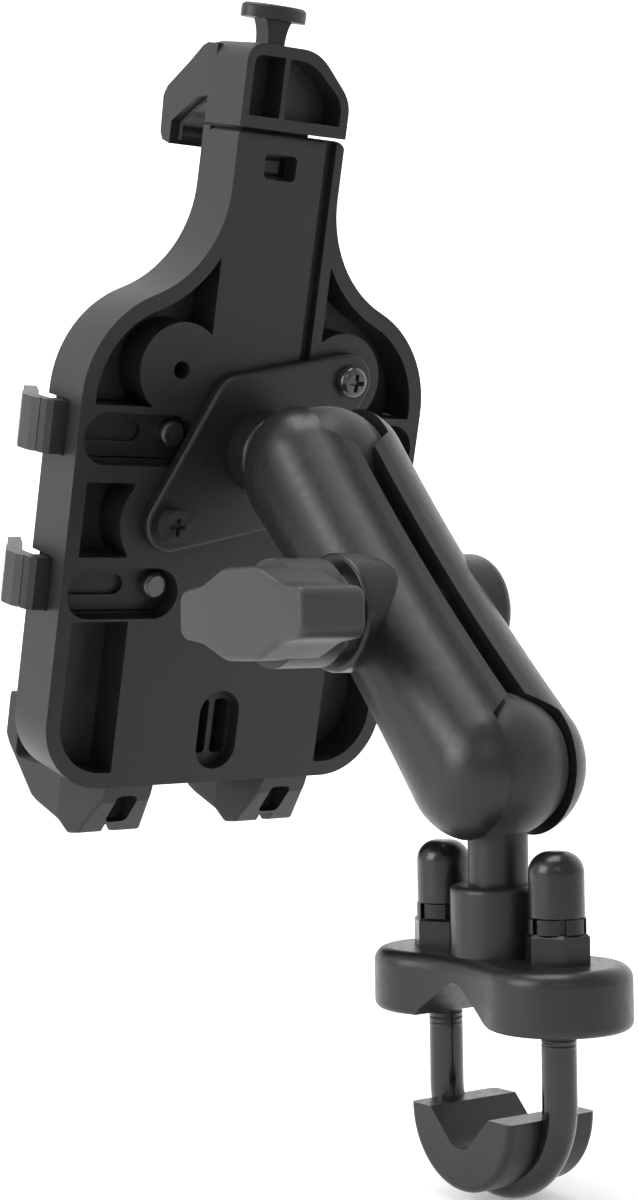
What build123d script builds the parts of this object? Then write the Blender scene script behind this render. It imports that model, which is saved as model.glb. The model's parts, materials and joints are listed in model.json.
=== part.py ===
from build123d import *
import math
import os

# Phone handlebar mount: a U-bolt bar base, a double-socket arm with a wing knob, and a spring-loaded phone holder.
# Millimetres. +X runs along the handlebar, +Z is up, and the origin is on the handlebar's axis.

os.makedirs("parts", exist_ok=True)

# ---------------------------------------------------------------- driving dimensions
# Bar base
BAR_R = 11.1                            # 22.2 mm (7/8 inch) handlebar
SADDLE_VEE = BAR_R * math.sqrt(2)       # a 90 degree vee touches the bar at 45 degrees
PLATE_VEE = 15.04                       # apex of the plate's wider vee
PLATE_VEE_HALF = 55.0                   # degrees from its middle plane to each flank
PLATE_BOTTOM = 7.55
PLATE_TOP = 18.45
PLATE_END_R = 12.6
PLATE_WAIST = 10.3
BOSS_R = 8.42
BOSS_TOP = 30.55
LEG_Y = 15.2                            # half of the U-bolt's leg spacing
ROD_R = 3.0
BEND_Z = -5.35                          # centre of the U-bolt's bend
ROD_TOP = 36.0
SADDLE_HALF = 9.6
SADDLE_R = 13.5
SADDLE_TOP = -7.9
NUT_FLATS = 10.0
NUT_TOP = 23.6
COLLAR_R = 4.95
COLLAR_TOP = 26.1
CAP_R = 4.75
CAP_BOTTOM = 26.3
CAP_TOP = 37.25

# Balls and arm
BALL_R = 12.7                           # 1 inch rubber ball
CORE_R = 10.9                           # metal ball under the rubber
NECK_R = 5.25
BALL_Z = 51.06
ARM_LENGTH = 73.06                      # between the two ball centres
ARM_LEAN = 42.6                         # degrees from upright, towards -Y
ARM_END_R = 12.95
ARM_WAIST = 11.5
ARM_SEAM = 2.0                          # each half starts this far from the middle plane
ARM_OUTER = 15.0
ARM_EDGE_R = 10.5
RIM_SETBACK = 7.4                       # the sockets stop here, so that a neck passes between them
RIM_START = 5.5
PAD_R = 10.7
PAD_OUTER = 17.0
BOLT_R = 3.0
SPRING_POCKET_R = 6.2
SPRING_POCKET = 8.0

# Knob
WASHER_OUTER = 18.5
KNOB_INNER = 18.6
HUB_START = 20.0
HUB_R = 9.7
WING_START = 23.5
KNOB_OUTER = 37.0
WING_LENGTH = 19.3
WING_HALF = 4.3
BULGE_HALF = 8.2

# Phone holder, in its own plane: u across, v up along it, d forward from its flat back
HOLDER_TILT = 14.2                      # degrees that the holder leans back from upright
BALL_GAP = 25.1                         # from the upper ball's centre to the holder's back
NECK_HALF = 12.5
NECK_TOP = 61.9
NECK_ARC_V = 50.66
NECK_ARC_R = 23.5
SHOULDER_R = 22.0
SIDE_U = 40.4
BOTTOM_V = -69.0
CORNER_R = 13.7
BODY_DEPTH = 10.6
TRAY_DEPTH = 13.1
PAD_DEPTH = 14.2
WALL = 3.1                              # rim width seen from the back
POCKET_DEPTH = 8.5
HOLE_U = 19.05
HOLE_V = 15.0
HOLE_R = 1.75
UPPER_DISC_R = 9.3                      # the bosses around the two upper holes
LOWER_DISC_R = 9.9
CHANNEL_V = (1.0, -29.4)
CHANNEL_DEPTH = 4.6
CLIP_V = (2.1, -28.5)
CLIP_HALF = 5.15
PLATE_THICK = 3.0
FIT = 0.1                               # gap of a sliding fit

# ---------------------------------------------------------------- frames of the arm and the holder
lean = math.radians(ARM_LEAN)
tilt = math.radians(HOLDER_TILT)
arm_dir = Vector(0, -math.sin(lean), math.cos(lean))
arm_side = Vector(0, math.cos(lean), math.sin(lean))
ball_low = Vector(0, 0, BALL_Z)
ball_high = ball_low + arm_dir * ARM_LENGTH
arm_middle = ball_low + arm_dir * (ARM_LENGTH / 2)
front = Vector(0, -math.cos(tilt), math.sin(tilt))
up_holder = Vector(0, math.sin(tilt), math.cos(tilt))
holder_origin = ball_high + front * BALL_GAP

arm_plane = Plane(origin=ball_low, x_dir=arm_dir, z_dir=(1, 0, 0))          # along the arm, across it
rim_plane = Plane(origin=ball_low, x_dir=arm_dir, z_dir=arm_side)           # along the arm, along X
bolt_plane = Plane(origin=arm_middle, x_dir=(0, 1, 0), z_dir=(1, 0, 0))     # Y, Z, at the arm bolt
holder = Plane(origin=holder_origin, x_dir=(1, 0, 0), z_dir=front)          # u, v, pushed forward by d
holder_side = Plane(origin=holder_origin, x_dir=front, z_dir=(-1, 0, 0))    # d, v, pushed towards -u
holder_end = Plane(origin=holder_origin, x_dir=(1, 0, 0), z_dir=-up_holder)  # u, d, pushed towards -v


# ---------------------------------------------------------------- bar base
# The plate's waist is two arcs that run smoothly into the round ends.
waist_r = (LEG_Y**2 + PLATE_WAIST**2 - PLATE_END_R**2) / (2 * (PLATE_END_R - PLATE_WAIST))
touch_x = PLATE_END_R * (PLATE_WAIST + waist_r) / (PLATE_END_R + waist_r)
touch_y = LEG_Y * waist_r / (PLATE_END_R + waist_r)
vee_half_width = PLATE_VEE * math.tan(math.radians(PLATE_VEE_HALF))

with BuildPart() as base_plate:
    with BuildSketch(Plane.XY.offset(PLATE_BOTTOM)):
        with BuildLine():
            for end in (1, -1):
                ThreePointArc((touch_x, end * touch_y), (0, end * (LEG_Y + PLATE_END_R)), (-touch_x, end * touch_y))
                ThreePointArc((end * touch_x, touch_y), (end * PLATE_WAIST, 0), (end * touch_x, -touch_y))
        make_face()
    extrude(amount=PLATE_TOP - PLATE_BOTTOM)
    fillet(base_plate.faces().sort_by(Axis.Z)[-1].edges(), 2.5)
    fillet(base_plate.faces().sort_by(Axis.Z)[0].edges(), 1.5)
    with BuildSketch(Plane.XY.offset(PLATE_TOP - 3)):
        Circle(BOSS_R)
    extrude(amount=BOSS_TOP - PLATE_TOP + 3)
    fillet(base_plate.faces().sort_by(Axis.Z)[-1].edges(), 1.2)
    with BuildSketch(Plane.XY.offset(PLATE_TOP)):
        Circle(NECK_R)
    extrude(amount=BALL_Z - PLATE_TOP)
    with Locations(ball_low):
        Sphere(CORE_R)
    with BuildSketch(Plane.YZ) as upper_vee:
        Polygon((-vee_half_width, 0), (0, PLATE_VEE), (vee_half_width, 0), align=None)
        fillet(upper_vee.vertices().sort_by(Axis.Y)[-1], 3.4)
    extrude(amount=PLATE_END_R + 1, both=True, mode=Mode.SUBTRACT)
    with Locations((0, LEG_Y, PLATE_TOP), (0, -LEG_Y, PLATE_TOP)):
        Hole(ROD_R + FIT)
base_plate.part.label = "base_plate"
export_step(base_plate.part, "parts/base_plate.step")

with BuildPart() as base_ball_cover:
    with Locations(ball_low):
        Sphere(BALL_R)
        Sphere(CORE_R + FIT, mode=Mode.SUBTRACT)
    with BuildSketch(Plane.XY.offset(BALL_Z)):
        Circle(NECK_R + 2 * FIT)
    extrude(amount=-BALL_R, mode=Mode.SUBTRACT)
base_ball_cover.part.label = "base_ball_cover"
export_step(base_ball_cover.part, "parts/base_ball_cover.step")

with BuildPart() as u_bolt:
    with BuildLine(Plane.YZ) as rod_path:
        Line((LEG_Y, ROD_TOP), (LEG_Y, BEND_Z))
        ThreePointArc((LEG_Y, BEND_Z), (0, BEND_Z - LEG_Y), (-LEG_Y, BEND_Z))
        Line((-LEG_Y, BEND_Z), (-LEG_Y, ROD_TOP))
    with BuildSketch(Plane.XY.offset(ROD_TOP)):
        with Locations((0, LEG_Y)):
            Circle(ROD_R)
    sweep(path=rod_path.line)
u_bolt.part.label = "u_bolt"
export_step(u_bolt.part, "parts/u_bolt.step")

with BuildPart() as saddle:
    with BuildSketch(Plane.YZ):
        with Locations((0, SADDLE_TOP)):
            Circle(SADDLE_R)
            Rectangle(3 * SADDLE_R, SADDLE_R + 1, align=(Align.CENTER, Align.MIN), mode=Mode.SUBTRACT)
    extrude(amount=SADDLE_HALF, both=True)
    fillet(saddle.faces().filter_by(Axis.X).edges().filter_by(GeomType.CIRCLE), 1.2)
    with BuildSketch(Plane.YZ) as lower_vee:
        Polygon((-SADDLE_VEE, 0), (0, -SADDLE_VEE), (SADDLE_VEE, 0), align=None)
        fillet(lower_vee.vertices().sort_by(Axis.Y)[0], 4)
    extrude(amount=SADDLE_HALF + 1, both=True, mode=Mode.SUBTRACT)
    with BuildLine(Plane.YZ) as seat_path:
        CenterArc((0, BEND_Z), LEG_Y, 180, 180)
    with BuildSketch(Plane.XY.offset(BEND_Z)):
        with Locations((0, -LEG_Y)):
            Circle(ROD_R + FIT / 2)
    sweep(path=seat_path.line, mode=Mode.SUBTRACT)
saddle.part.label = "saddle"
export_step(saddle.part, "parts/saddle.step")


def lock_nut(leg_y):
    """A hexagon nut with a round, notched locking collar, on the leg at leg_y."""
    with BuildPart() as nut:
        with BuildSketch(Plane.XY.offset(PLATE_TOP)):
            with Locations((0, leg_y)):
                RegularPolygon(NUT_FLATS / 2, 6, major_radius=False)
        extrude(amount=NUT_TOP - PLATE_TOP)
        chamfer(nut.edges().group_by(Axis.Z)[-1], 0.5)
        with BuildSketch(Plane.XY.offset(NUT_TOP)) as collar:
            with Locations((0, leg_y)):
                Circle(COLLAR_R)
                with PolarLocations(COLLAR_R, 6):
                    Rectangle(1.6, 1.2, mode=Mode.SUBTRACT)
        extrude(amount=COLLAR_TOP - NUT_TOP)
        with Locations((0, leg_y, COLLAR_TOP)):
            Hole(ROD_R + FIT / 2)
    return nut


def end_cap(leg_y):
    """A domed cap pushed over the end of the leg at leg_y."""
    with BuildPart() as cap:
        with BuildSketch(Plane.XY.offset(CAP_BOTTOM)):
            with Locations((0, leg_y)):
                Circle(CAP_R)
        extrude(amount=CAP_TOP - CAP_BOTTOM)
        fillet(cap.edges().group_by(Axis.Z)[-1], 3.6)
        with BuildSketch(Plane.XY.offset(CAP_BOTTOM)):
            with Locations((0, leg_y)):
                Circle(ROD_R + FIT / 4)
        extrude(amount=ROD_TOP - CAP_BOTTOM + FIT, mode=Mode.SUBTRACT)
    return cap


for place, leg_y in (("front", LEG_Y), ("rear", -LEG_Y)):
    leg_nut = lock_nut(leg_y)
    leg_nut.part.label = f"nut_{place}"
    export_step(leg_nut.part, f"parts/nut_{place}.step")
    leg_cap = end_cap(leg_y)
    leg_cap.part.label = f"end_cap_{place}"
    export_step(leg_cap.part, f"parts/end_cap_{place}.step")


# ---------------------------------------------------------------- arm
# The arm's two long sides are arcs that run smoothly into the round ends.
half_length = ARM_LENGTH / 2
side_r = (half_length**2 / (ARM_END_R - ARM_WAIST) - ARM_END_R - ARM_WAIST) / 2
touch_s = ARM_END_R * half_length / (ARM_END_R + side_r)
touch_w = ARM_END_R * (ARM_WAIST + side_r) / (ARM_END_R + side_r)


def arm_half(side):
    """One socket half of the arm, on the knob side (1) or on the bolt side (-1)."""
    with BuildPart() as half:
        with BuildSketch(arm_plane.offset(side * ARM_SEAM)):
            with BuildLine():
                far_s = ARM_LENGTH - touch_s
                ThreePointArc((touch_s, touch_w), (half_length, ARM_WAIST), (far_s, touch_w))
                ThreePointArc((far_s, touch_w), (ARM_LENGTH + ARM_END_R, 0), (far_s, -touch_w))
                ThreePointArc((far_s, -touch_w), (half_length, -ARM_WAIST), (touch_s, -touch_w))
                ThreePointArc((touch_s, -touch_w), (-ARM_END_R, 0), (touch_s, touch_w))
            make_face()
        extrude(amount=side * (ARM_OUTER - ARM_SEAM))
        fillet(half.edges().group_by(Axis.X)[-1 if side > 0 else 0], ARM_EDGE_R)
        with BuildSketch(bolt_plane.offset(side * SPRING_POCKET)):
            Circle(PAD_R)
        extrude(amount=side * (PAD_OUTER - SPRING_POCKET))
        fillet(half.edges().group_by(Axis.X)[-1 if side > 0 else 0], 0.8 if side > 0 else 2.5)
        for near in (True, False):
            with BuildSketch(rim_plane) as rim_cut:
                along = [-ARM_END_R - 1, -ARM_END_R - 1, RIM_START - 4, RIM_START, RIM_START]
                across = [0, RIM_SETBACK, RIM_SETBACK, ARM_SEAM, 0]
                places = [s if near else ARM_LENGTH - s for s in along]
                Polygon(*[(s, side * x) for s, x in zip(places, across)], align=None)
            extrude(amount=ARM_END_R + 1, both=True, mode=Mode.SUBTRACT)
        with Locations(ball_low, ball_high):
            Sphere(BALL_R + FIT, mode=Mode.SUBTRACT)
        with BuildSketch(bolt_plane.offset(side * ARM_SEAM)):
            Circle(SPRING_POCKET_R)
        extrude(amount=side * (SPRING_POCKET - ARM_SEAM), mode=Mode.SUBTRACT)
        with BuildSketch(bolt_plane):
            Circle(BOLT_R + FIT)
        extrude(amount=side * (PAD_OUTER + 1), mode=Mode.SUBTRACT)
        if side < 0:
            with BuildSketch(bolt_plane.offset(-PAD_OUTER)):
                Rectangle(2 * BOLT_R + 2 * FIT, 2 * BOLT_R + 2 * FIT)
            extrude(amount=4, mode=Mode.SUBTRACT)
    return half


arm_half_knob_side = arm_half(1)
arm_half_knob_side.part.label = "arm_half_knob_side"
export_step(arm_half_knob_side.part, "parts/arm_half_knob_side.step")
arm_half_bolt_side = arm_half(-1)
arm_half_bolt_side.part.label = "arm_half_bolt_side"
export_step(arm_half_bolt_side.part, "parts/arm_half_bolt_side.step")

with BuildPart() as arm_bolt:
    with BuildSketch(bolt_plane.offset(-PAD_OUTER)):
        Circle(6.6)
    extrude(amount=-3.4)
    fillet(arm_bolt.edges().group_by(Axis.X)[0], 2.8)
    with BuildSketch(bolt_plane.offset(-PAD_OUTER)):
        Rectangle(2 * BOLT_R, 2 * BOLT_R)
    extrude(amount=3.8)
    with BuildSketch(bolt_plane.offset(-PAD_OUTER)):
        Circle(BOLT_R)
    extrude(amount=PAD_OUTER + 30.5)
    chamfer(arm_bolt.edges().group_by(Axis.X)[-1], 0.6)
arm_bolt.part.label = "arm_bolt"
export_step(arm_bolt.part, "parts/arm_bolt.step")

WIRE_R = 0.65
COIL_R = 5.0
COIL_TURNS = 5
coil_length = 2 * (SPRING_POCKET - WIRE_R) - FIT
with BuildPart() as arm_spring:
    with BuildLine() as coil:
        Helix(
            pitch=coil_length / COIL_TURNS,
            height=coil_length,
            radius=COIL_R,
            center=arm_middle - Vector(coil_length / 2, 0, 0),
            direction=(1, 0, 0),
        )
    with BuildSketch(Plane(origin=coil.line @ 0, z_dir=coil.line % 0)):
        Circle(WIRE_R)
    sweep(path=coil.line)
arm_spring.part.label = "arm_spring"
export_step(arm_spring.part, "parts/arm_spring.step")

with BuildPart() as knob_washer:
    with BuildSketch(bolt_plane.offset(PAD_OUTER + 0.02)):
        Circle(7.4)
        Circle(BOLT_R + FIT, mode=Mode.SUBTRACT)
    extrude(amount=WASHER_OUTER - PAD_OUTER - 0.02)
knob_washer.part.label = "knob_washer"
export_step(knob_washer.part, "parts/knob_washer.step")

INSERT_R = 4.6
INSERT_END = 31.0
with BuildPart() as wing_knob:
    with BuildSketch(bolt_plane.offset(WING_START)) as wings:
        corner = [(WING_LENGTH, WING_HALF), (12.5, 5.1), (5.0, BULGE_HALF)]
        upper = corner + [(-y, z) for y, z in reversed(corner)]
        Polygon(*upper, *[(-y, -z) for y, z in upper], align=None)
        fillet(wings.vertices().filter_by(lambda p: abs(p.X) < 15), 9)
        fillet(wings.vertices().filter_by(lambda p: abs(p.X) > 18), 2.4)
    extrude(amount=KNOB_OUTER - WING_START)
    fillet(wing_knob.edges().group_by(Axis.X)[-1], 1.2)
    fillet(wing_knob.edges().group_by(Axis.X)[0], 0.8)
    with BuildSketch(bolt_plane.offset(HUB_START)):
        Circle(HUB_R)
    extrude(amount=30.0 - HUB_START)
    with BuildSketch(bolt_plane.offset(KNOB_INNER)):
        Circle(8.0)
    extrude(amount=HUB_START - KNOB_INNER)
    with BuildSketch(bolt_plane.offset(KNOB_INNER)):
        Circle(INSERT_R + 0.02)
    extrude(amount=INSERT_END - KNOB_INNER, mode=Mode.SUBTRACT)
wing_knob.part.label = "wing_knob"
export_step(wing_knob.part, "parts/wing_knob.step")

with BuildPart() as knob_insert:
    with BuildSketch(bolt_plane.offset(KNOB_INNER)):
        Circle(INSERT_R)
        Circle(BOLT_R + FIT / 2, mode=Mode.SUBTRACT)
    extrude(amount=INSERT_END - KNOB_INNER - FIT)
knob_insert.part.label = "knob_insert"
export_step(knob_insert.part, "parts/knob_insert.step")


# ---------------------------------------------------------------- ball plate
with BuildPart() as ball_plate:
    with BuildSketch(holder) as diamond:
        half_diamond = [(10.6, 14.3), (-29.1, 23.0)]
        Polygon(*half_diamond, *[(-u, -v) for u, v in half_diamond], align=None)
        fillet(diamond.vertices(), 5.6)
        with Locations((-HOLE_U, HOLE_V), (HOLE_U, -HOLE_V)):
            Circle(HOLE_R, mode=Mode.SUBTRACT)
    extrude(amount=-PLATE_THICK)
    fillet(ball_plate.faces().sort_by(Axis.Y)[-1].outer_wire().edges(), 0.8)
    with BuildSketch(holder.offset(-PLATE_THICK / 2)):
        Circle(BOSS_R)
    extrude(amount=-8)
    fillet(ball_plate.faces().sort_by(Axis.Y)[-1].edges(), 1.2)
    with BuildSketch(holder.offset(-PLATE_THICK / 2)):
        Circle(NECK_R)
    extrude(amount=-(BALL_GAP - PLATE_THICK / 2))
    with Locations(ball_high):
        Sphere(CORE_R)
ball_plate.part.label = "ball_plate"
export_step(ball_plate.part, "parts/ball_plate.step")

with BuildPart() as holder_ball_cover:
    with Locations(ball_high):
        Sphere(BALL_R)
        Sphere(CORE_R + FIT, mode=Mode.SUBTRACT)
    with BuildSketch(holder.offset(-BALL_GAP)):
        Circle(NECK_R + 2 * FIT)
    extrude(amount=BALL_R, mode=Mode.SUBTRACT)
holder_ball_cover.part.label = "holder_ball_cover"
export_step(holder_ball_cover.part, "parts/holder_ball_cover.step")

used_holes = [(-HOLE_U, HOLE_V), (HOLE_U, -HOLE_V)]
NUT_START = 6.8
NUT_THICK = 2.8
SCREW_R = 1.65
with BuildPart() as plate_screws:
    with BuildSketch(holder.offset(-PLATE_THICK - 0.01)):
        with Locations(*used_holes):
            Circle(3.3)
    extrude(amount=-2.4)
    fillet(plate_screws.edges().group_by(Axis.Y)[-1], 1.6)
    with BuildSketch(holder.offset(-PLATE_THICK - 1)):
        with Locations(*used_holes):
            Circle(SCREW_R)
    extrude(amount=PLATE_THICK + 1 + NUT_START + NUT_THICK)
    with BuildSketch(holder.offset(-PLATE_THICK - 2.5)):
        with Locations(*used_holes):
            Rectangle(3.6, 0.9)
            Rectangle(0.9, 3.6)
    extrude(amount=1.4, mode=Mode.SUBTRACT)
plate_screws.part.label = "plate_screws"
export_step(plate_screws.part, "parts/plate_screws.step")

with BuildPart() as plate_nuts:
    with BuildSketch(holder.offset(NUT_START)):
        with Locations(*used_holes):
            RegularPolygon(3.5, 6, major_radius=False)
        with Locations(*used_holes):
            Circle(SCREW_R + 0.02, mode=Mode.SUBTRACT)
    extrude(amount=NUT_THICK)
plate_nuts.part.label = "plate_nuts"
export_step(plate_nuts.part, "parts/plate_nuts.step")


# ---------------------------------------------------------------- holder body and tray
neck_centre_u = NECK_HALF + NECK_ARC_R
shoulder_centre_u = SIDE_U - SHOULDER_R
centre_gap = math.acos((neck_centre_u - shoulder_centre_u) / (NECK_ARC_R + SHOULDER_R))
shoulder_centre_v = NECK_ARC_V - (NECK_ARC_R + SHOULDER_R) * math.sin(centre_gap)
flare = math.degrees(centre_gap)

with BuildSketch() as holder_outline:
    with BuildLine():
        Line((0, NECK_TOP), (NECK_HALF, NECK_TOP))
        Line((NECK_HALF, NECK_TOP), (NECK_HALF, NECK_ARC_V))
        CenterArc((neck_centre_u, NECK_ARC_V), NECK_ARC_R, 180, flare)
        CenterArc((shoulder_centre_u, shoulder_centre_v), SHOULDER_R, 0, flare)
        Line((SIDE_U, shoulder_centre_v), (SIDE_U, BOTTOM_V + CORNER_R))
        CenterArc((SIDE_U - CORNER_R, BOTTOM_V + CORNER_R), CORNER_R, -90, 90)
        Line((SIDE_U - CORNER_R, BOTTOM_V), (0, BOTTOM_V))
        Line((0, BOTTOM_V), (0, NECK_TOP))
    make_face()
    mirror(about=Plane.YZ)

# Pockets that are open to the back: upper, middle and lower on each side
with BuildSketch() as pocket_shapes:
    add(holder_outline.sketch)
    offset(amount=-WALL, mode=Mode.REPLACE)
    with BuildSketch(mode=Mode.INTERSECT):
        for side in (1, -1):
            Polygon(*[(side * u, v) for u, v in ((13, 22), (13, 37), (41, 37), (41, 7.5), (21, 7.5))], align=None)
            with Locations((side * 33.8, -14.85)):
                Rectangle(14.4, 14.7)
            with Locations((side * 32.8, -51.25)):
                Rectangle(16.4, 32.5)
    with Locations((HOLE_U, HOLE_V), (-HOLE_U, HOLE_V)):
        Circle(UPPER_DISC_R, mode=Mode.SUBTRACT)
    with Locations((HOLE_U, -HOLE_V), (-HOLE_U, -HOLE_V)):
        Circle(LOWER_DISC_R, mode=Mode.SUBTRACT)

SLIDER_HALF = 7.8
SLIDER_BACK = 3.2
SLIDER_FRONT = 10.4
SLIDER_BOTTOM = 17.0
TUNNEL_BOTTOM = -7.0
TONGUE_U = (15.6, 23.0)
TONGUE_D = (3.2, 8.6)
TONGUE_TOP = -60.0
with BuildPart() as holder_body:
    with BuildSketch(holder):
        add(holder_outline.sketch)
    extrude(amount=BODY_DEPTH)
    fillet(holder_body.faces().sort_by(Axis.Y)[-1].edges(), 1.6)
    with BuildSketch(holder):
        add(pocket_shapes.sketch)
    extrude(amount=POCKET_DEPTH, mode=Mode.SUBTRACT)
    with BuildSketch(holder):
        for side in (1, -1):
            with Locations(*[(side * 26.5, v) for v in CHANNEL_V]):
                SlotOverall(25, 10.2)
    extrude(amount=CHANNEL_DEPTH, mode=Mode.SUBTRACT)
    with BuildSketch(holder.offset(CHANNEL_DEPTH)):
        for side in (1, -1):
            with Locations(*[(side * 27.4, v) for v in CLIP_V]):
                Rectangle(31.6, 2 * CLIP_HALF + 0.5)
    extrude(amount=BODY_DEPTH - CHANNEL_DEPTH, mode=Mode.SUBTRACT)
    with BuildSketch(holder.offset(SLIDER_BACK - 0.2)):
        with Locations((0, TUNNEL_BOTTOM)):
            Rectangle(2 * SLIDER_HALF + 0.4, 80, align=(Align.CENTER, Align.MIN))
    extrude(amount=BODY_DEPTH, mode=Mode.SUBTRACT)
    with BuildSketch(holder):
        with Locations((2.0, 55.45)):
            RectangleRounded(7.4, 4.9, 1.0)
        with Locations((0.5, -58.0)):
            SlotOverall(16.5, 9.5, rotation=90)
    extrude(amount=SLIDER_BACK, mode=Mode.SUBTRACT)
    with BuildSketch(holder.offset(SLIDER_BACK)):
        with Locations((-1.8, -58.0), (2.8, -58.0)):
            RectangleRounded(3.4, 11.5, 1.0)
    extrude(amount=4.5, mode=Mode.SUBTRACT)
    with BuildSketch(holder):
        with Locations((-9.35, 18)):
            Rectangle(2.5, 60, align=(Align.CENTER, Align.MIN))
    extrude(amount=1.8, mode=Mode.SUBTRACT)
    with BuildSketch(holder):
        with Locations((HOLE_U, HOLE_V), (-HOLE_U, HOLE_V), (HOLE_U, -HOLE_V), (-HOLE_U, -HOLE_V)):
            Circle(HOLE_R)
    extrude(amount=BODY_DEPTH, mode=Mode.SUBTRACT)
    with BuildSketch(holder.offset(NUT_START)):
        with Locations(*used_holes):
            RegularPolygon(3.55, 6, major_radius=False)
    extrude(amount=BODY_DEPTH - NUT_START, mode=Mode.SUBTRACT)
    tongue_u = (TONGUE_U[0] + TONGUE_U[1]) / 2
    with BuildSketch(holder.offset(TONGUE_D[0] - 0.05)):
        for side in (1, -1):
            with Locations((side * tongue_u, BOTTOM_V - 2)):
                Rectangle(TONGUE_U[1] - TONGUE_U[0] + 0.1, TONGUE_TOP - BOTTOM_V + 2.05, align=(Align.CENTER, Align.MIN))
    extrude(amount=TONGUE_D[1] - TONGUE_D[0] + 0.1, mode=Mode.SUBTRACT)
    with BuildSketch(holder.offset(BODY_DEPTH)):
        with Locations((tongue_u, -64.5), (-tongue_u, -64.5)):
            Circle(1.3)
    extrude(amount=-(BODY_DEPTH - TONGUE_D[0] + 1.2), mode=Mode.SUBTRACT)
    with BuildSketch(holder.offset(BODY_DEPTH)):
        with Locations((tongue_u, -64.5), (-tongue_u, -64.5)):
            Circle(2.4)
    extrude(amount=-1.0, mode=Mode.SUBTRACT)
holder_body.part.label = "holder_body"
export_step(holder_body.part, "parts/holder_body.step")

with BuildPart() as front_tray:
    with BuildSketch(holder.offset(BODY_DEPTH + 0.02)):
        add(holder_outline.sketch)
        offset(amount=-FIT, mode=Mode.REPLACE)
        for side in (1, -1):
            with Locations(*[(side * 44, v) for v in CLIP_V]):
                Rectangle(10.8, 2 * CLIP_HALF + 0.5, mode=Mode.SUBTRACT)
    extrude(amount=TRAY_DEPTH - BODY_DEPTH - 0.02)
front_tray.part.label = "front_tray"
export_step(front_tray.part, "parts/front_tray.step")

with BuildPart() as tray_pad:
    with BuildSketch(holder.offset(TRAY_DEPTH + 0.02)) as pad_shape:
        add(holder_outline.sketch)
        offset(amount=-5.6, mode=Mode.REPLACE)
        with Locations((0, -0.25)):
            Rectangle(90, 107.5, mode=Mode.INTERSECT)
        fillet(pad_shape.vertices().group_by(Axis.Y)[0], 4)
        fillet(pad_shape.vertices().group_by(Axis.Y)[-1], 1.5)
    extrude(amount=PAD_DEPTH - TRAY_DEPTH - 0.02)
tray_pad.part.label = "tray_pad"
export_step(tray_pad.part, "parts/tray_pad.step")


# ---------------------------------------------------------------- feet, in the holder's side view (d, v)
FOOT_MIDDLE_U = 19.0
FOOT_REAR_HALF = 5.0                    # half of its width at the back
FOOT_FLARE = 0.32                       # each side moves out by this for each millimetre forward
FOOT_SEAM = 12.9
FOOT_FRONT = 29.4
foot_profile = [
    (1.1, -69.05), (2.6, -73.1), (7.6, -80.8), (10.4, -81.6), (13.2, -79.5), (19.2, -77.4),
    (20.9, -76.5), (28.3, -67.3), (29.3, -65.4), (29.3, -57.8), (28.2, -56.3), (25.8, -56.6),
    (25.5, -69.5), (12.4, -69.5), (12.4, -69.05),
]


# A shallow notch that runs forward along the bottom, between two lobes
notch_profile = [
    (5.0, -83), (5.0, -78.6), (10.4, -79.7), (13.2, -77.7), (19.4, -75.6), (23.0, -73.6), (27.0, -83),
]


def foot_blank(side, seam_low, seam_high):
    """The foot's shape between two depths, on the +u side (1) or the -u side (-1)."""
    with BuildPart() as blank:
        with BuildSketch(holder_side) as profile:
            Polygon(*foot_profile, align=None)
            fillet(profile.vertices().filter_by(lambda p: p.X > 19 and p.Y < -64), 1.5)
            fillet(profile.vertices().filter_by(lambda p: 4 < p.X < 14 and p.Y < -75), 1.2)
        extrude(amount=-side * 40)
        front_half = FOOT_REAR_HALF + FOOT_FLARE * (FOOT_FRONT + 1)
        with BuildSketch(holder_end.offset(50)):
            inner = side * (FOOT_MIDDLE_U - FOOT_REAR_HALF)
            outer = side * (FOOT_MIDDLE_U + FOOT_REAR_HALF)
            front_inner = side * (FOOT_MIDDLE_U - front_half)
            front_outer = side * (FOOT_MIDDLE_U + front_half)
            Polygon(
                (inner, 0), (outer, 0), (front_outer, FOOT_FRONT + 1), (front_inner, FOOT_FRONT + 1), align=None,
            )
        extrude(amount=40, mode=Mode.INTERSECT)
        side_faces = blank.faces().filter_by(lambda f: abs(f.normal_at().dot(Vector(1, 0, 0))) > 0.9)
        for side_face in side_faces.sort_by(Axis.X):
            under = side_face.edges().filter_by(lambda e: holder_side.to_local_coords(e.center()).Y < -74)
            fillet(under, 0.8)
        with BuildSketch(holder_side.offset(-side * (FOOT_MIDDLE_U - 1.7))):
            Polygon(*notch_profile, align=None)
        extrude(amount=-side * 3.4, mode=Mode.SUBTRACT)
        with BuildSketch(holder.offset(seam_low)):
            with Locations((side * FOOT_MIDDLE_U, -70)):
                Rectangle(60, 60)
        extrude(amount=seam_high - seam_low, mode=Mode.INTERSECT)
    return blank


def foot_core(side, gap):
    """The tongue of the foot that reaches into its rubber cover, grown by gap."""
    with BuildPart() as core:
        with BuildSketch(holder_side.offset(-side * (FOOT_MIDDLE_U - 3.2 - gap))):
            Polygon((FOOT_SEAM - 2, -71.4), (22.5, -71.4), (20.0, -73.2), (FOOT_SEAM - 2, -75.4), align=None)
            offset(amount=gap)
        extrude(amount=-side * (6.4 + 2 * gap))
    return core


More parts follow.
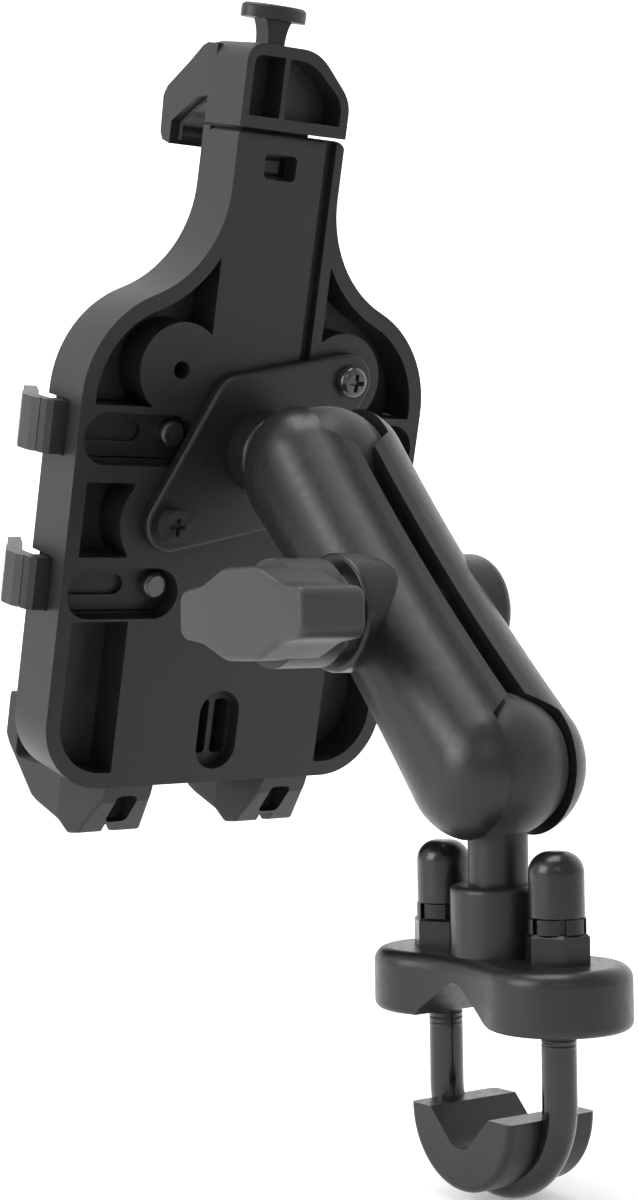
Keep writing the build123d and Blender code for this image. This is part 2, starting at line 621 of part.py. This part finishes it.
for place, side in (("left", 1), ("right", -1)):
    rear = foot_blank(side, 0, FOOT_SEAM)
    cover = foot_blank(side, FOOT_SEAM + 0.05, FOOT_FRONT)
    core = foot_core(side, 0)
    core_room = foot_core(side, 0.05)
    with BuildPart() as foot:
        add(rear.part)
        with BuildSketch(holder):
            with Locations((side * 18.7, -75.0)):
                RectangleRounded(5.0, 6.6, 1.2)
        extrude(amount=8.5, mode=Mode.SUBTRACT)
        add(core.part)
        with BuildSketch(holder.offset(TONGUE_D[0])):
            with Locations((side * tongue_u, BOTTOM_V - 2)):
                Rectangle(TONGUE_U[1] - TONGUE_U[0], TONGUE_TOP - BOTTOM_V + 2, align=(Align.CENTER, Align.MIN))
        extrude(amount=TONGUE_D[1] - TONGUE_D[0])
        with BuildSketch(holder.offset(BODY_DEPTH)):
            with Locations((side * tongue_u, -64.5)):
                Circle(1.3)
        extrude(amount=-(BODY_DEPTH - TONGUE_D[0] + 1), mode=Mode.SUBTRACT)
    foot.part.label = f"foot_{place}"
    export_step(foot.part, f"parts/foot_{place}.step")
    with BuildPart() as foot_cover:
        add(cover.part)
        add(core_room.part, mode=Mode.SUBTRACT)
    foot_cover.part.label = f"foot_cover_{place}"
    export_step(foot_cover.part, f"parts/foot_cover_{place}.step")

with BuildPart() as foot_screws:
    with BuildSketch(holder.offset(BODY_DEPTH - 0.02)):
        with Locations((tongue_u, -64.5), (-tongue_u, -64.5)):
            Circle(2.3)
    extrude(amount=-0.9)
    with BuildSketch(holder.offset(BODY_DEPTH - 0.5)):
        with Locations((tongue_u, -64.5), (-tongue_u, -64.5)):
            Circle(1.25)
    extrude(amount=-6.6)
foot_screws.part.label = "foot_screws"
export_step(foot_screws.part, "parts/foot_screws.step")


# ---------------------------------------------------------------- side clips, in the holder's end view (u, d)
CLIP_BACK = 4.75
CLIP_FRONT = 8.3
CLIP_INNER_U = 12.2
CLIP_SCREW_U = 17.4
arm_profile = [
    (CLIP_INNER_U, CLIP_BACK), (43.6, CLIP_BACK), (44.6, 5.7), (45.1, 7.2), (44.6, CLIP_FRONT),
    (44.6, 14.0), (43.9, 14.0), (43.9, CLIP_FRONT), (CLIP_INNER_U, CLIP_FRONT),
]
claw_profile = [
    (45.2, 7.3), (46.1, 9.0), (46.3, 12.4), (44.9, 15.4), (42.6, 19.0), (38.4, 27.0), (36.2, 25.8), (39.9, 17.8),
    (42.2, 14.4), (42.8, 12.0), (42.6, CLIP_FRONT + 0.05), (44.7, CLIP_FRONT + 0.05),
]
CLAW_RISE = 1.6                         # its lower edge rises by this towards the front
clip_places = []
for row, clip_v in zip(("upper", "lower"), CLIP_V):
    for place, side in (("left", 1), ("right", -1)):
        clip_places.append((f"{row}_{place}", clip_v, side))

for place, clip_v, side in clip_places:
    with BuildPart() as side_clip:
        with BuildSketch(holder_end.offset(-clip_v)):
            Polygon(*[(side * u, d) for u, d in arm_profile], align=None)
        extrude(amount=CLIP_HALF, both=True)
        with BuildSketch(holder.offset(CLIP_BACK)):
            with Locations((side * 30.6, clip_v)):
                SlotOverall(13, 4.2)
        extrude(amount=1.2, mode=Mode.SUBTRACT)
        with BuildSketch(holder.offset(CLIP_BACK)):
            with Locations((side * CLIP_SCREW_U, clip_v)):
                Circle(1.52)
        extrude(amount=CLIP_FRONT - CLIP_BACK, mode=Mode.SUBTRACT)
    side_clip.part.label = f"side_clip_{place}"
    export_step(side_clip.part, f"parts/side_clip_{place}.step")

    with BuildPart() as clip_tip:
        with BuildSketch(holder_end.offset(-clip_v)) as claw:
            Polygon(*[(side * u, d) for u, d in claw_profile], align=None)
            fillet(claw.vertices().sort_by(Axis.Y)[-2:], 1.0)
        extrude(amount=CLIP_HALF, both=True)
        with BuildSketch(holder_side) as claw_side:
            Polygon(
                (5, clip_v - CLIP_HALF), (14, clip_v - CLIP_HALF), (28, clip_v - CLIP_HALF + CLAW_RISE),
                (28, clip_v + CLIP_HALF), (5, clip_v + CLIP_HALF), align=None,
            )
            fillet(claw_side.vertices().filter_by(lambda p: p.X > 20), 3.4)
        extrude(amount=60, both=True, mode=Mode.INTERSECT)
        with BuildSketch(holder_end.offset(-clip_v)):
            with Locations((side * 44.25, 11.0)):
                Rectangle(0.76, 6.1)
        extrude(amount=CLIP_HALF, both=True, mode=Mode.SUBTRACT)
    clip_tip.part.label = f"clip_tip_{place}"
    export_step(clip_tip.part, f"parts/clip_tip_{place}.step")

    with BuildPart() as clip_screw:
        with BuildSketch(holder.offset(CLIP_BACK - 0.02)):
            with Locations((side * CLIP_SCREW_U, clip_v)):
                Circle(2.85)
        extrude(amount=-2.1)
        fillet(clip_screw.edges().group_by(Axis.Y)[-1], 0.9)
        with BuildSketch(holder.offset(CLIP_BACK - 1)):
            with Locations((side * CLIP_SCREW_U, clip_v)):
                Circle(1.5)
        extrude(amount=CLIP_FRONT - CLIP_BACK + 2)
        with BuildSketch(holder.offset(CLIP_BACK - 2.1)):
            with Locations((side * CLIP_SCREW_U, clip_v)):
                Rectangle(3.4, 0.8)
                Rectangle(0.8, 3.4)
        extrude(amount=1.1, mode=Mode.SUBTRACT)
    clip_screw.part.label = f"clip_screw_{place}"
    export_step(clip_screw.part, f"parts/clip_screw_{place}.step")


# ---------------------------------------------------------------- top jaw
JAW_BOTTOM = 62.4
JAW_FRONT = 29.4
jaw_profile = [
    (0, JAW_BOTTOM), (0, 78.4), (13.1, 78.2), (16.4, 77.0), (20.7, 73.7), (28.2, 68.5), (JAW_FRONT, 66.6),
    (29.0, 59.4), (28.0, 57.9), (25.2, 57.3), (25.2, 61.8), (16.7, 67.0), (12.8, 67.5), (12.8, JAW_BOTTOM),
]
TAB_SLOT = (9.8, 14.2)
TAB_HALF = 2.0
TAB_CAP = 83.5
with BuildPart() as top_jaw:
    with BuildSketch(holder) as arch:
        with BuildLine():
            Line((-NECK_HALF, 55), (NECK_HALF, 55))
            Line((NECK_HALF, 55), (NECK_HALF, 74.9))
            ThreePointArc((NECK_HALF, 74.9), (11.6, 77.2), (9.3, 78.4))
            Line((9.3, 78.4), (0, 78.4))
            Spline((0, 78.4), (-8.9, 73.4), (-NECK_HALF, 67.0), tangents=((-1, 0), (0, -1)))
            Line((-NECK_HALF, 67.0), (-NECK_HALF, 55))
        make_face()
    extrude(amount=JAW_FRONT)
    with BuildSketch(holder.offset(11.2)):
        with Locations((0, 55)):
            Rectangle(2 * NECK_HALF, 22.6, align=(Align.CENTER, Align.MIN))
    extrude(amount=JAW_FRONT - 11.2)
    with BuildSketch(holder_side) as hood:
        Polygon(*jaw_profile, align=None)
        fillet(hood.vertices().filter_by(lambda p: p.X > 26 and p.Y > 60), 1.2)
    extrude(amount=NECK_HALF + 1, both=True, mode=Mode.INTERSECT)
    with BuildSketch(holder) as hollow:
        with BuildLine():
            Line((-10.6, 64.7), (10.8, 64.7))
            Line((10.8, 64.7), (10.8, 74.4))
            ThreePointArc((10.8, 74.4), (10.3, 75.6), (9.1, 76.2))
            Line((9.1, 76.2), (1.0, 76.2))
            Spline((1.0, 76.2), (-7.6, 72.0), (-10.6, 67.0), tangents=((-1, 0), (0, -1)))
            Line((-10.6, 67.0), (-10.6, 64.7))
        make_face()
        with Locations((3.2, 70)):
            Rectangle(1.2, 14, mode=Mode.SUBTRACT)
    extrude(amount=6, mode=Mode.SUBTRACT)
    with BuildSketch(holder.offset(SLIDER_BACK + 3)):
        with Locations((0, JAW_BOTTOM - 1)):
            Rectangle(2 * SLIDER_HALF + 0.1, 6.0, align=(Align.CENTER, Align.MIN))
    extrude(amount=SLIDER_FRONT - SLIDER_BACK - 2.95, mode=Mode.SUBTRACT)
    with BuildSketch(holder.offset(TAB_SLOT[0] - 0.05)):
        with Locations((0, 75.9)):
            Rectangle(2 * TAB_HALF + FIT, 6, align=(Align.CENTER, Align.MIN))
    extrude(amount=TAB_SLOT[1] - TAB_SLOT[0] + 0.1, mode=Mode.SUBTRACT)
top_jaw.part.label = "top_jaw"
export_step(top_jaw.part, "parts/top_jaw.step")

with BuildPart() as jaw_pad:
    with BuildSketch(holder_side):
        Polygon(
            (13.2, 67.4), (16.7, 66.95), (25.15, 61.75), (25.15, 58.2), (24.0, 58.2), (24.0, 61.2),
            (16.3, 65.9), (13.2, 66.2), align=None,
        )
    extrude(amount=10.5, both=True)
jaw_pad.part.label = "jaw_pad"
export_step(jaw_pad.part, "parts/jaw_pad.step")

with BuildPart() as jaw_slider:
    with BuildSketch(holder.offset(SLIDER_BACK)):
        with Locations((0, SLIDER_BOTTOM)):
            Rectangle(2 * SLIDER_HALF, 61 - SLIDER_BOTTOM, align=(Align.CENTER, Align.MIN))
    extrude(amount=SLIDER_FRONT - SLIDER_BACK)
    with BuildSketch(holder.offset(SLIDER_BACK + 3.05)):
        with Locations((0, 60)):
            Rectangle(2 * SLIDER_HALF, 7.35, align=(Align.CENTER, Align.MIN))
    extrude(amount=SLIDER_FRONT - SLIDER_BACK - 3.05)
    with BuildSketch(holder.offset(SLIDER_BACK)):
        with Locations((2.0, 55.45)):
            Rectangle(6.4, 3.9)
            Rectangle(3.4, 2.2, mode=Mode.SUBTRACT)
    extrude(amount=2.0, mode=Mode.SUBTRACT)
jaw_slider.part.label = "jaw_slider"
export_step(jaw_slider.part, "parts/jaw_slider.step")

JAW_COIL_R = 2.4
JAW_COIL_TURNS = 9
jaw_coil_length = SLIDER_BOTTOM - TUNNEL_BOTTOM - 1.4
with BuildPart() as jaw_spring:
    with BuildLine() as jaw_coil:
        Helix(
            pitch=jaw_coil_length / JAW_COIL_TURNS,
            height=jaw_coil_length,
            radius=JAW_COIL_R,
            center=holder_origin + front * 6.5 + up_holder * (TUNNEL_BOTTOM + 0.7),
            direction=up_holder,
        )
    with BuildSketch(Plane(origin=jaw_coil.line @ 0, z_dir=jaw_coil.line % 0)):
        Circle(0.5)
    sweep(path=jaw_coil.line)
jaw_spring.part.label = "jaw_spring"
export_step(jaw_spring.part, "parts/jaw_spring.step")

with BuildPart() as pull_tab:
    with BuildSketch(holder.offset(TAB_SLOT[0])):
        with BuildLine():
            Line((-TAB_HALF, 76.0), (TAB_HALF, 76.0))
            Line((TAB_HALF, 76.0), (TAB_HALF, 78.6))
            Spline((TAB_HALF, 78.6), (3.2, TAB_CAP + 0.2), tangents=((0, 1), (1, 1.6)))
            Line((3.2, TAB_CAP + 0.2), (-3.2, TAB_CAP + 0.2))
            Spline((-3.2, TAB_CAP + 0.2), (-TAB_HALF, 78.6), tangents=((1, -1.6), (0, -1)))
            Line((-TAB_HALF, 78.6), (-TAB_HALF, 76.0))
        make_face()
    extrude(amount=TAB_SLOT[1] - TAB_SLOT[0])
    with BuildSketch(Plane(origin=holder_origin + up_holder * TAB_CAP, x_dir=(1, 0, 0), z_dir=up_holder)):
        with Locations((0, -12.0)):
            Ellipse(7.0, 5.0)
    extrude(amount=2.8)
    fillet(pull_tab.edges().group_by(Axis.Z)[-1], 0.9)
pull_tab.part.label = "pull_tab"
export_step(pull_tab.part, "parts/pull_tab.step")
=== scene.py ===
import json
import math

import bmesh
import bpy
from mathutils import Matrix, Vector


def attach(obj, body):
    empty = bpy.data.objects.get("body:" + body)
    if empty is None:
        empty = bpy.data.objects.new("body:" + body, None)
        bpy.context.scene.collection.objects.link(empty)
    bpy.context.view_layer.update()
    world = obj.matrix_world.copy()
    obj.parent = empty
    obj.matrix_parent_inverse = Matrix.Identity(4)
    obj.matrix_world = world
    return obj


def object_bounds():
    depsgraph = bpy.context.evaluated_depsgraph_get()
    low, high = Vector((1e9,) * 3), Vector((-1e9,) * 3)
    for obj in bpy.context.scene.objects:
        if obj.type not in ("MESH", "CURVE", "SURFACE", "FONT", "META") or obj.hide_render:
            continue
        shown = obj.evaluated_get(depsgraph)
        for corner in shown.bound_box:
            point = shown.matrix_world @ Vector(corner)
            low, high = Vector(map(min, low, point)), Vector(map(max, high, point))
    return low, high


# A phone handlebar mount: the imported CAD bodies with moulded, cast, coated and rubber finishes, small soft edges,
# and the ribs on the holder's rubber pad, which are too fine for the CAD. Lengths are in metres.

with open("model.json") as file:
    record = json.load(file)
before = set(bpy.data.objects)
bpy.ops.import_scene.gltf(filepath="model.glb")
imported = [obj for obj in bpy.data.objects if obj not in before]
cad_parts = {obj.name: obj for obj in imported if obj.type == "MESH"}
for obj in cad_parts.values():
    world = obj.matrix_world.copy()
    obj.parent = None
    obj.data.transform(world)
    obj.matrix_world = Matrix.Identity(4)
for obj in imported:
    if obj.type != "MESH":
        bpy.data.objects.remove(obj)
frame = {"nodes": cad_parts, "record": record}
cad_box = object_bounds()
nodes = frame["nodes"]

# The Wave texture's scale for one band a metre: at scale 1 its bands repeat every 2 pi / 20 metres
WAVE_SCALE = 2 * math.pi / 20
# Noise values mostly lie between these two
NOISE_LOW, NOISE_HIGH = 0.3, 0.7

# ---------------------------------------------------------------- materials
def new_material(name, colour, roughness):
    """A material with its Principled shader, ready for a bump and a roughness pattern."""
    mat = bpy.data.materials.new(name)
    mat.use_nodes = True
    shader = mat.node_tree.nodes["Principled BSDF"]
    shader.inputs["Base Color"].default_value = (*colour, 1)
    shader.inputs["Roughness"].default_value = roughness
    return mat, shader


def object_coordinates(mat):
    """The piece's own coordinates, in metres."""
    return mat.node_tree.nodes.new("ShaderNodeTexCoord").outputs["Object"]


def noise(mat, per_metre, detail=3.0):
    """A noise pattern with about this many lumps in a metre."""
    node = mat.node_tree.nodes.new("ShaderNodeTexNoise")
    node.inputs["Scale"].default_value = per_metre
    node.inputs["Detail"].default_value = detail
    mat.node_tree.links.new(object_coordinates(mat), node.inputs["Vector"])
    return node.outputs["Fac"]


def remap(mat, source, low, high, start=NOISE_LOW, stop=NOISE_HIGH):
    """source between start and stop, spread from low to high."""
    node = mat.node_tree.nodes.new("ShaderNodeMapRange")
    node.inputs["From Min"].default_value = start
    node.inputs["From Max"].default_value = stop
    node.inputs["To Min"].default_value = low
    node.inputs["To Max"].default_value = high
    mat.node_tree.links.new(source, node.inputs["Value"])
    return node.outputs["Result"]


def tint(mat, shader, source, dark, light):
    """The base colour goes from dark to light with source."""
    node = mat.node_tree.nodes.new("ShaderNodeMix")
    node.data_type = "RGBA"
    factor = next(i for i in node.inputs if i.name == "Factor" and i.type == "VALUE")
    first, second = (i for i in node.inputs if i.type == "RGBA")
    result = next(o for o in node.outputs if o.type == "RGBA")
    first.default_value = (*dark, 1)
    second.default_value = (*light, 1)
    mat.node_tree.links.new(source, factor)
    mat.node_tree.links.new(result, shader.inputs["Base Color"])


def bump(mat, shader, layers):
    """Bumps from (pattern, height in metres) layers, one on top of the other."""
    below = None
    for source, height in layers:
        node = mat.node_tree.nodes.new("ShaderNodeBump")
        node.inputs["Strength"].default_value = 1.0
        node.inputs["Distance"].default_value = height
        mat.node_tree.links.new(source, node.inputs["Height"])
        if below is not None:
            mat.node_tree.links.new(below, node.inputs["Normal"])
        below = node.outputs["Normal"]
    mat.node_tree.links.new(below, shader.inputs["Normal"])


def ridges(mat, per_metre, low, high):
    """Level ridges, this many to a metre of height, that fade in between the heights low and high."""
    wave = mat.node_tree.nodes.new("ShaderNodeTexWave")
    wave.wave_type = "BANDS"
    wave.bands_direction = "Z"
    wave.wave_profile = "SIN"
    wave.inputs["Scale"].default_value = per_metre * WAVE_SCALE
    mat.node_tree.links.new(object_coordinates(mat), wave.inputs["Vector"])
    parts = mat.node_tree.nodes.new("ShaderNodeSeparateXYZ")
    mat.node_tree.links.new(object_coordinates(mat), parts.inputs["Vector"])
    both = mat.node_tree.nodes.new("ShaderNodeMath")
    both.operation = "MULTIPLY"
    fade = remap(mat, parts.outputs["Z"], 0, 1, low, high)
    mat.node_tree.links.new(wave.outputs["Fac"], both.inputs[0])
    mat.node_tree.links.new(fade, both.inputs[1])
    return both.outputs["Value"]


def vary_roughness(mat, shader, source, low, high):
    """The roughness goes from low to high with source."""
    mat.node_tree.links.new(remap(mat, source, low, high), shader.inputs["Roughness"])


def moulded_plastic(name, grey, roughness, grain):
    """Glass-filled nylon with a spark-eroded grain, slightly blotchy where it flowed."""
    mat, shader = new_material(name, (grey, grey, grey * 1.03), roughness)
    flow = noise(mat, 60, 4)
    fine = noise(mat, 2600, 2)
    light = (grey * 1.2, grey * 1.2, grey * 1.24)
    tint(mat, shader, remap(mat, flow, 0, 1), (grey * 0.85,) * 3, light)
    vary_roughness(mat, shader, flow, roughness - 0.05, roughness + 0.07)
    shader.inputs["Specular IOR Level"].default_value = 0.32
    bump(mat, shader, [(fine, grain), (noise(mat, 350, 2), grain * 0.6)])
    return mat


def cast_coat(name, grey, roughness, grain):
    """Die-cast metal under a thin black powder coat: an orange-peel skin with fine grit in it."""
    mat, shader = new_material(name, (grey, grey, grey * 1.03), roughness)
    peel = noise(mat, 700, 2)
    grit = noise(mat, 3200, 2)
    cloud = noise(mat, 45, 3)
    light = (grey * 1.15, grey * 1.15, grey * 1.19)
    tint(mat, shader, remap(mat, cloud, 0, 1), (grey * 0.88,) * 3, light)
    vary_roughness(mat, shader, peel, roughness - 0.05, roughness + 0.06)
    shader.inputs["Specular IOR Level"].default_value = 0.3
    shader.inputs["Coat Weight"].default_value = 0.1
    shader.inputs["Coat Roughness"].default_value = 0.3
    bump(mat, shader, [(peel, grain), (grit, grain * 0.5)])
    return mat


def soft_rubber(name, grey, roughness, rib_pitch=None):
    """Matt rubber with a fine pebble and a little dust in its hollows, ribbed if it has a rib pitch."""
    mat, shader = new_material(name, (grey, grey, grey), roughness)
    pebble = mat.node_tree.nodes.new("ShaderNodeTexVoronoi")
    pebble.inputs["Scale"].default_value = 1500
    mat.node_tree.links.new(object_coordinates(mat), pebble.inputs["Vector"])
    dust = noise(mat, 130, 5)
    dusty = remap(mat, dust, 0, 1, 0.35, 0.8)
    tint(mat, shader, dusty, (grey * 0.9,) * 3, (grey * 1.5,) * 3)
    shader.inputs["Sheen Weight"].default_value = 0.12
    shader.inputs["Sheen Roughness"].default_value = 0.5
    shader.inputs["Specular IOR Level"].default_value = 0.35
    layers = [(pebble.outputs["Distance"], 0.00003), (noise(mat, 500, 2), 0.00004)]
    if rib_pitch:
        everywhere = (-1.0, -0.9)
        layers.append((ridges(mat, 1 / rib_pitch, *everywhere), 0.0008))
    bump(mat, shader, layers)
    return mat


def coated_steel(name, grey, roughness, coat=0.4, thread_from=None):
    """Glossy black coated steel, slightly hazed, with a 1 mm thread above the height thread_from."""
    mat, shader = new_material(name, (grey, grey, grey * 1.05), roughness)
    shader.inputs["Specular IOR Level"].default_value = 0.3
    shader.inputs["Coat Weight"].default_value = coat
    shader.inputs["Coat Roughness"].default_value = 0.12
    haze = noise(mat, 220, 4)
    light = (grey * 1.3, grey * 1.3, grey * 1.36)
    tint(mat, shader, remap(mat, haze, 0, 1), (grey * 0.9,) * 3, light)
    vary_roughness(mat, shader, haze, roughness - 0.06, roughness + 0.08)
    layers = [(noise(mat, 900, 2), 0.000012)]
    if thread_from is not None:
        threads_per_metre, run_in, depth = 1000, 0.001, 0.00025
        thread = ridges(mat, threads_per_metre, thread_from, thread_from + run_in)
        layers.append((thread, depth))
    bump(mat, shader, layers)
    return mat


def bare_metal(name, colour, roughness):
    """Plain turned metal with fine scratches."""
    mat, shader = new_material(name, colour, roughness)
    shader.inputs["Metallic"].default_value = 1.0
    scratches = noise(mat, 1800, 6)
    vary_roughness(mat, shader, scratches, roughness - 0.08, roughness + 0.12)
    tint(mat, shader, remap(mat, scratches, 0, 1), tuple(c * 0.85 for c in colour), colour)
    bump(mat, shader, [(scratches, 0.000006)])
    return mat


FINISHES = {
    "painted_black": cast_coat("cast_black", 0.008, 0.36, 0.00003),
    "ball_rubber": soft_rubber("ball_rubber", 0.01, 0.5),
    "black_rod": coated_steel("black_nut", 0.003, 0.3, 0.05),
    "cap_plastic": coated_steel("cap_gloss", 0.005, 0.3, 0.2),
    "black_screw": coated_steel("black_screw", 0.018, 0.18, 0.8),
    "steel": bare_metal("plain_steel", (0.55, 0.55, 0.56), 0.3),
    "brass": bare_metal("insert_brass", (0.72, 0.52, 0.24), 0.3),
    "knob_plastic": moulded_plastic("knob_nylon", 0.028, 0.44, 0.00004),
    "holder_plastic": moulded_plastic("holder_nylon", 0.011, 0.42, 0.00003),
    "grip_rubber": soft_rubber("grip_rubber", 0.013, 0.5),
}
# Pieces that differ from the rest of their slot
OWN_FINISHES = {
    "u_bolt": coated_steel("threaded_rod", 0.004, 0.18, 0.3, thread_from=0.004),
    "jaw_pad": soft_rubber("ribbed_jaw_pad", 0.014, 0.55, rib_pitch=0.002),
}

# Width of the soft edge on the pieces of each slot
SOFT_EDGES = {
    "painted_black": 0.0004,
    "knob_plastic": 0.0007,
    "holder_plastic": 0.00035,
    "grip_rubber": 0.0004,
}

# Pieces with rounder edges than the rest of their slot, and the width of those edges
ROUNDED_PIECES = ("side_clip", "clip_tip", "foot_left", "foot_right", "foot_cover", "top_jaw", "pull_tab")
ROUNDED_EDGE = 0.0008

# Edges where two faces meet at more than this angle are softened
SHARP_ANGLE = math.radians(35)


def soften(obj, width):
    """A rounded edge of this width wherever two faces meet sharply."""
    edge = obj.modifiers.new("soft_edge", "BEVEL")
    edge.width = width
    edge.segments = 3
    edge.limit_method = "ANGLE"
    edge.angle_limit = SHARP_ANGLE


def finish_nodes():
    """Gives every CAD node its finish, and all but the balls' skins the soft edge of their slot."""
    slots = {s["node"]: s["material_slot"] for s in frame["record"]["subparts"]}
    for name, node in nodes.items():
        node.data.materials.clear()
        node.data.materials.append(OWN_FINISHES.get(name, FINISHES[slots[name]]))
        width = SOFT_EDGES.get(slots[name], 0.0)
        if name.startswith(ROUNDED_PIECES):
            width = ROUNDED_EDGE
        if width and not name.endswith("_ball_cover"):
            soften(node, width)


# ---------------------------------------------------------------- ribs on the holder's rubber pad
RIB_COUNT = 11
RIB_PITCH = 0.006
LOWEST_RIB = -0.047  # along the pad from the phone rest's point
RIB_HALF_SIZES = (0.029, 0.001, 0.0004)  # across the pad, along it, and out of it
RIB_EDGE = 0.0003


def bar(mesh, middle, half_sizes, directions):
    """Adds one box to a bmesh, its sides along the three directions."""
    corners = []
    for i in (-1, 1):
        for j in (-1, 1):
            for k in (-1, 1):
                offset = Vector((0, 0, 0))
                for sign, half, direction in zip((i, j, k), half_sizes, directions):
                    offset += sign * half * direction
                corners.append(mesh.verts.new(middle + offset))
    sides = ((0, 1, 3, 2), (4, 6, 7, 5), (0, 4, 5, 1), (2, 3, 7, 6), (0, 2, 6, 4), (1, 5, 7, 3))
    for side in sides:
        mesh.faces.new([corners[n] for n in side])


def pad_ribs():
    """Level ribs that stand 0.4 mm proud of the pad, so that a phone doesn't slide on it."""
    rest = next(m for m in frame["record"]["mounts"] if m["name"] == "phone_rest")
    front = Vector(rest["axis"]).normalized()
    face = Vector(rest["pos_m"])
    across = Vector((1, 0, 0))
    along = front.cross(across)
    if along.z < 0:
        along = -along
    shape = bmesh.new()
    for n in range(RIB_COUNT):
        middle = face + along * (LOWEST_RIB + n * RIB_PITCH)
        bar(shape, middle, RIB_HALF_SIZES, (across, along, front))
    bmesh.ops.recalc_face_normals(shape, faces=shape.faces[:])
    mesh = bpy.data.meshes.new("pad_ribs")
    shape.to_mesh(mesh)
    shape.free()
    ribs = bpy.data.objects.new("pad_ribs", mesh)
    bpy.context.scene.collection.objects.link(ribs)
    mesh.materials.append(FINISHES["grip_rubber"])
    soften(ribs, RIB_EDGE)
    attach(ribs, "holder")


# ---------------------------------------------------------------- stage, light and camera
FLOOR_RADIUS = 1.8
CURVE_REACH = 1.4
WALL_RADIUS = FLOOR_RADIUS + CURVE_REACH
WALL_TOP = 4.0
CURVE_STEPS = 12
AROUND = 64
# Roughly the way the photograph looks, and the side on which the backdrop glows more
AWAY = (-0.64, -0.77, 0)

LIGHTS_AIM = (0, -0.03, 0.06)


def cyclorama(low):
    """A pale floor that curves up into a backdrop, which glows more on the side behind the holder."""
    rings = [(FLOOR_RADIUS, 0.0)]
    for i in range(1, CURVE_STEPS + 1):
        turn = i / CURVE_STEPS * math.pi / 2
        rings.append((FLOOR_RADIUS + CURVE_REACH * math.sin(turn), CURVE_REACH * (1 - math.cos(turn))))
    rings.append((WALL_RADIUS, WALL_TOP))
    points = [(0, 0, low)]
    for reach, height in rings:
        for k in range(AROUND):
            angle = 2 * math.pi * k / AROUND
            points.append((reach * math.cos(angle), reach * math.sin(angle), low + height))
    faces = [(0, 1 + k, 1 + (k + 1) % AROUND) for k in range(AROUND)]
    for ring in range(len(rings) - 1):
        first = 1 + ring * AROUND
        for k in range(AROUND):
            nxt = (k + 1) % AROUND
            faces.append((first + k, first + AROUND + k, first + AROUND + nxt, first + nxt))
    mesh = bpy.data.meshes.new("studio_floor")
    mesh.from_pydata(points, [], faces)
    for face in mesh.polygons:
        face.use_smooth = True
    floor = bpy.data.objects.new("studio_floor", mesh)
    bpy.context.scene.collection.objects.link(floor)
    mat, shader = new_material("studio_white", (0.8, 0.8, 0.8), 0.9)
    shader.inputs["Emission Color"].default_value = (1, 1, 1, 1)
    away = mat.node_tree.nodes.new("ShaderNodeVectorMath")
    away.operation = "DOT_PRODUCT"
    away.inputs[1].default_value = AWAY
    mat.node_tree.links.new(object_coordinates(mat), away.inputs[0])
    glow = remap(mat, away.outputs["Value"], 0.02, 0.8, -0.8, 1.6)
    mat.node_tree.links.new(glow, shader.inputs["Emission Strength"])
    bump(mat, shader, [(noise(mat, 300, 2), 0.00002)])
    mesh.materials.append(mat)


def area_light(name, place, size, power):
    """A soft square light at place, facing the middle of the mount."""
    lamp = bpy.data.lights.new(name, "AREA")
    lamp.size = size
    lamp.energy = power
    light = bpy.data.objects.new(name, lamp)
    light.location = place
    light.rotation_euler = (Vector(LIGHTS_AIM) - Vector(place)).to_track_quat("-Z", "Y").to_euler()
    bpy.context.scene.collection.objects.link(light)


def light_studio():
    """Even white surroundings, with lights from above, on the camera's left and, faintly, by the camera."""
    world = bpy.data.worlds.new("studio")
    world.use_nodes = True
    world.node_tree.nodes["Background"].inputs["Color"].default_value = (1, 1, 1, 1)
    world.node_tree.nodes["Background"].inputs["Strength"].default_value = 0.44
    bpy.context.scene.world = world
    area_light("top_light", (0.1, -0.1, 0.95), 0.6, 7)
    area_light("left_light", (0.8, -0.15, 0.35), 0.5, 6)
    area_light("camera_light", (0.5, 0.75, 0.5), 0.3, 0.6)


def place_camera():
    """The photograph's viewpoint: from behind the holder, level with the arm, turned a little."""
    data = bpy.data.cameras.new("camera")
    data.lens = 70.34
    data.sensor_width = 36.0
    data.sensor_fit = "AUTO"
    data.clip_start = 0.01
    camera = bpy.data.objects.new("camera", data)
    yaw, pitch, roll = (math.radians(a) for a in (54.541, -0.616, -0.872))
    level = math.cos(pitch)
    back = Vector((math.cos(yaw) * level, math.sin(yaw) * level, math.sin(pitch)))
    right = (-back).cross(Vector((0, 0, 1))).normalized()
    above = right.cross(-back)
    turned_right = math.cos(roll) * right + math.sin(roll) * above
    turned_up = -math.sin(roll) * right + math.cos(roll) * above
    turn = Matrix((turned_right, turned_up, back)).transposed()
    camera.matrix_world = Matrix.Translation((0.2608, 0.31386, 0.0758)) @ turn.to_4x4()
    bpy.context.scene.collection.objects.link(camera)
    bpy.context.scene.camera = camera


finish_nodes()
pad_ribs()
cyclorama(cad_box[0][2])
light_studio()
place_camera()
bpy.context.scene.view_settings.view_transform = "Standard"
